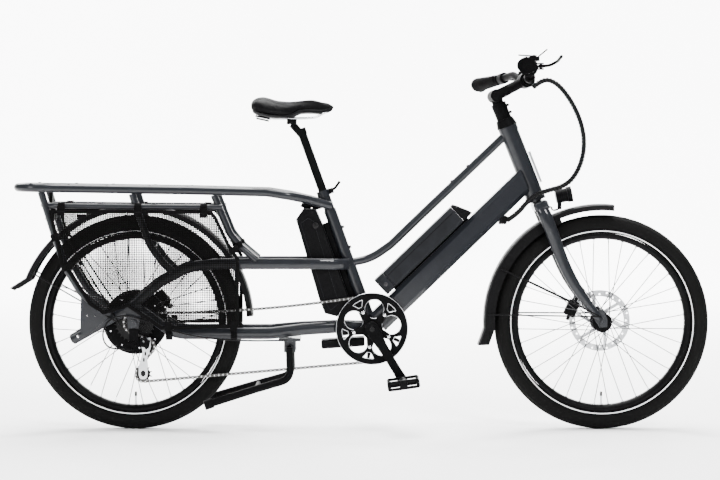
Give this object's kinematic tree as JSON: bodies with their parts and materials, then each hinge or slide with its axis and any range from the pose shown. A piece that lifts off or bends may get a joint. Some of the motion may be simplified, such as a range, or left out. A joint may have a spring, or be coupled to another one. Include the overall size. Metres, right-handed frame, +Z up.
{
  "type": "electric long-tail cargo bicycle",
  "caption": "Long-tail cargo bicycle with a step-over frame, rear deck, net side guards, two batteries, hub motor, disc brakes and a centre stand.",
  "frame": {"origin": "on the floor under the middle of the bicycle's box", "axes": "+X forward, +Y to the rider's left, +Z up"},
  "size_m": [2.0546, 0.6634, 1.1185],
  "materials": {
    "frame_paint": "gloss metallic paint",
    "black_metal": "satin black",
    "bare_metal": "brushed",
    "steel": "polished",
    "tyre": "matte",
    "black_plastic": "matte",
    "grip_rubber": "matte",
    "net": "woven net",
    "battery_grey": "satin",
    "saddle_cover": "matte"
  },
  "bodies": {
    "frame": {"head_tube": "frame_paint", "down_tube": "frame_paint", "top_tube": "frame_paint", "seat_tube": "frame_paint", "mid_stays": "frame_paint", "chainstays": "frame_paint", "rear_dropouts": "frame_paint", "deck_frame": "frame_paint", "lower_rail": "frame_paint", "deck_struts": "frame_paint", "rear_fender": "black_plastic", "left_side_guard": "net", "right_side_guard": "net", "battery_rails": "bare_metal", "front_rack_plate": "bare_metal", "controller_housing": "black_plastic", "derailleur_body": "black_metal", "tail_light": "black_plastic", "chain": "steel", "rear_shift_cable": "black_plastic", "rear_caliper": "black_plastic"},
    "steering": {"fork": "frame_paint", "stem_riser": "black_metal", "front_fender": "black_plastic", "front_caliper": "black_plastic", "headlight_bracket": "black_metal", "cable_bundle": "black_plastic"},
    "bars": {"stem_arm": "black_metal", "handlebar": "black_metal", "left_grip": "grip_rubber", "right_grip": "grip_rubber", "bar_controls": "black_plastic"},
    "headlamp": {"headlight": "black_plastic"},
    "throttle_sleeve": {"throttle": "black_plastic"},
    "left_lever": {"left_brake_lever": "bare_metal"},
    "right_lever": {"right_brake_lever": "bare_metal"},
    "gear_lever": {"shift_lever": "black_plastic"},
    "front_wheel": {"front_tyre": "tyre", "front_rim": "black_metal", "front_hub": "black_metal", "front_rotor": "steel"},
    "rear_wheel": {"rear_tyre": "tyre", "rear_rim": "black_metal", "hub_motor": "black_metal", "rear_rotor": "steel"},
    "sprockets": {"cassette": "steel"},
    "cranks": {"crankset": "black_metal", "chainring": "black_metal"},
    "left_platform": {"left_pedal": "black_plastic"},
    "right_platform": {"right_pedal": "black_plastic"},
    "cage": {"derailleur_cage": "bare_metal"},
    "guide": {"guide_pulley": "black_plastic"},
    "tension": {"tension_pulley": "black_plastic"},
    "seat": {"seatpost": "black_metal", "saddle": "saddle_cover"},
    "quick_release": {"seat_lever": "bare_metal"},
    "centre_stand": {"stand": "black_metal"},
    "front_battery": {"main_battery": "battery_grey"},
    "back_battery": {"rear_battery": "black_plastic"},
    "front_arm": {"front_caliper_arm": "steel"},
    "rear_arm": {"rear_caliper_arm": "steel"}
  },
  "joints": [
    {"name": "steering_turn", "type": "hinge", "parent": "frame", "child": "steering", "pos_m": [0.5224, 0, 0.67199], "axis": [-0.3665, 0, 0.9304], "range_deg": [-50, 50], "deforming": ["cable_bundle"]},
    {"name": "stem_angle", "type": "hinge", "parent": "steering", "child": "bars", "pos_m": [0.40109, 0, 0.97995], "axis": [-0.1455, 0.9877, -0.0573], "range_deg": [-25, 15]},
    {"name": "headlight_tilt", "type": "hinge", "parent": "steering", "child": "headlamp", "pos_m": [0.59045, 0, 0.65744], "axis": [0, 1, 0], "range_deg": [-15, 15]},
    {"name": "throttle_twist", "type": "hinge", "parent": "bars", "child": "throttle_sleeve", "pos_m": [0.48288, -0.20755, 1.05716], "axis": [-0.0899, -0.9959, -0.0126], "range_deg": [0, 60], "stiffness_Nm_per_rad": 0.15},
    {"name": "left_brake_squeeze", "type": "hinge", "parent": "bars", "child": "left_lever", "pos_m": [0.46774, 0.19866, 1.0411], "axis": [-0.0042, 0.0573, 0.9983], "range_deg": [0, 15], "stiffness_Nm_per_rad": 1},
    {"name": "right_brake_squeeze", "type": "hinge", "parent": "bars", "child": "right_lever", "pos_m": [0.52101, -0.16285, 1.06208], "axis": [0.0042, -0.0573, -0.9983], "range_deg": [0, 15], "stiffness_Nm_per_rad": 1},
    {"name": "gear_shift", "type": "hinge", "parent": "bars", "child": "gear_lever", "pos_m": [0.50338, -0.13342, 1.08424], "axis": [-0.0042, 0.0573, 0.9983], "range_deg": [-20, 20]},
    {"name": "front_wheel_spin", "type": "hinge", "parent": "steering", "child": "front_wheel", "pos_m": [0.713, 0, 0.315], "axis": [0, 1, 0], "continuous": true},
    {"name": "rear_wheel_spin", "type": "hinge", "parent": "frame", "child": "rear_wheel", "pos_m": [-0.659, 0, 0.315], "axis": [0, 1, 0], "continuous": true},
    {"name": "crank_spin", "type": "hinge", "parent": "frame", "child": "cranks", "pos_m": [0.037, 0, 0.299], "axis": [0, 1, 0], "continuous": true, "deforming": ["chain"]},
    {"name": "cassette_spin", "type": "hinge", "parent": "frame", "child": "sprockets", "pos_m": [-0.659, 0, 0.315], "axis": [0, 1, 0], "continuous": true},
    {"name": "left_pedal_spin", "type": "hinge", "parent": "cranks", "child": "left_platform", "pos_m": [-0.05313, 0.131, 0.449], "axis": [0, 1, 0], "continuous": true},
    {"name": "right_pedal_spin", "type": "hinge", "parent": "cranks", "child": "right_platform", "pos_m": [0.12713, -0.131, 0.149], "axis": [0, 1, 0], "continuous": true},
    {"name": "cage_swing", "type": "hinge", "parent": "frame", "child": "cage", "pos_m": [-0.63, -0.046, 0.262], "axis": [0, -1, 0], "range_deg": [-8, 25], "stiffness_Nm_per_rad": 2},
    {"name": "guide_pulley_spin", "type": "hinge", "parent": "cage", "child": "guide", "pos_m": [-0.622, -0.046, 0.246], "axis": [0, 1, 0], "continuous": true},
    {"name": "tension_pulley_spin", "type": "hinge", "parent": "cage", "child": "tension", "pos_m": [-0.632, -0.046, 0.166], "axis": [0, 1, 0], "continuous": true},
    {"name": "seat_height", "type": "slide", "parent": "frame", "child": "seat", "axis": [-0.3387, 0, 0.9409], "range_m": [-0.12, 0.08]},
    {"name": "seat_clamp_lever", "type": "hinge", "parent": "frame", "child": "quick_release", "pos_m": [-0.08329, -0.0212, 0.70102], "axis": [0.3387, 0, -0.9409], "range_deg": [0, 95]},
    {"name": "stand_swing", "type": "hinge", "parent": "frame", "child": "centre_stand", "pos_m": [-0.204, 0, 0.246], "axis": [0, -1, 0], "range_deg": [0, 67]},
    {"name": "main_battery_slide", "type": "slide", "parent": "frame", "child": "front_battery", "axis": [0.7193, 0, 0.6947], "range_m": [0, 0.1]},
    {"name": "rear_battery_slide", "type": "slide", "parent": "frame", "child": "back_battery", "axis": [-0.9409, 0, -0.3387], "range_m": [0, 0.045]},
    {"name": "front_caliper_pull", "type": "hinge", "parent": "steering", "child": "front_arm", "pos_m": [0.63, 0.0673, 0.351], "axis": [0, 1, 0], "range_deg": [0, 25]},
    {"name": "rear_caliper_pull", "type": "hinge", "parent": "frame", "child": "rear_arm", "pos_m": [-0.585, 0.0703, 0.38], "axis": [0, 1, 0], "range_deg": [0, 25]}
  ],
  "couplings": [
    {"joint": "cassette_spin", "follows": "crank_spin", "ratio": 3.2},
    {"joint": "guide_pulley_spin", "follows": "crank_spin", "ratio": -4.3636},
    {"joint": "tension_pulley_spin", "follows": "crank_spin", "ratio": 4.3636},
    {"joint": "front_caliper_pull", "follows": "left_brake_squeeze", "ratio": 1.5},
    {"joint": "rear_caliper_pull", "follows": "right_brake_squeeze", "ratio": 1.5}
  ]
}
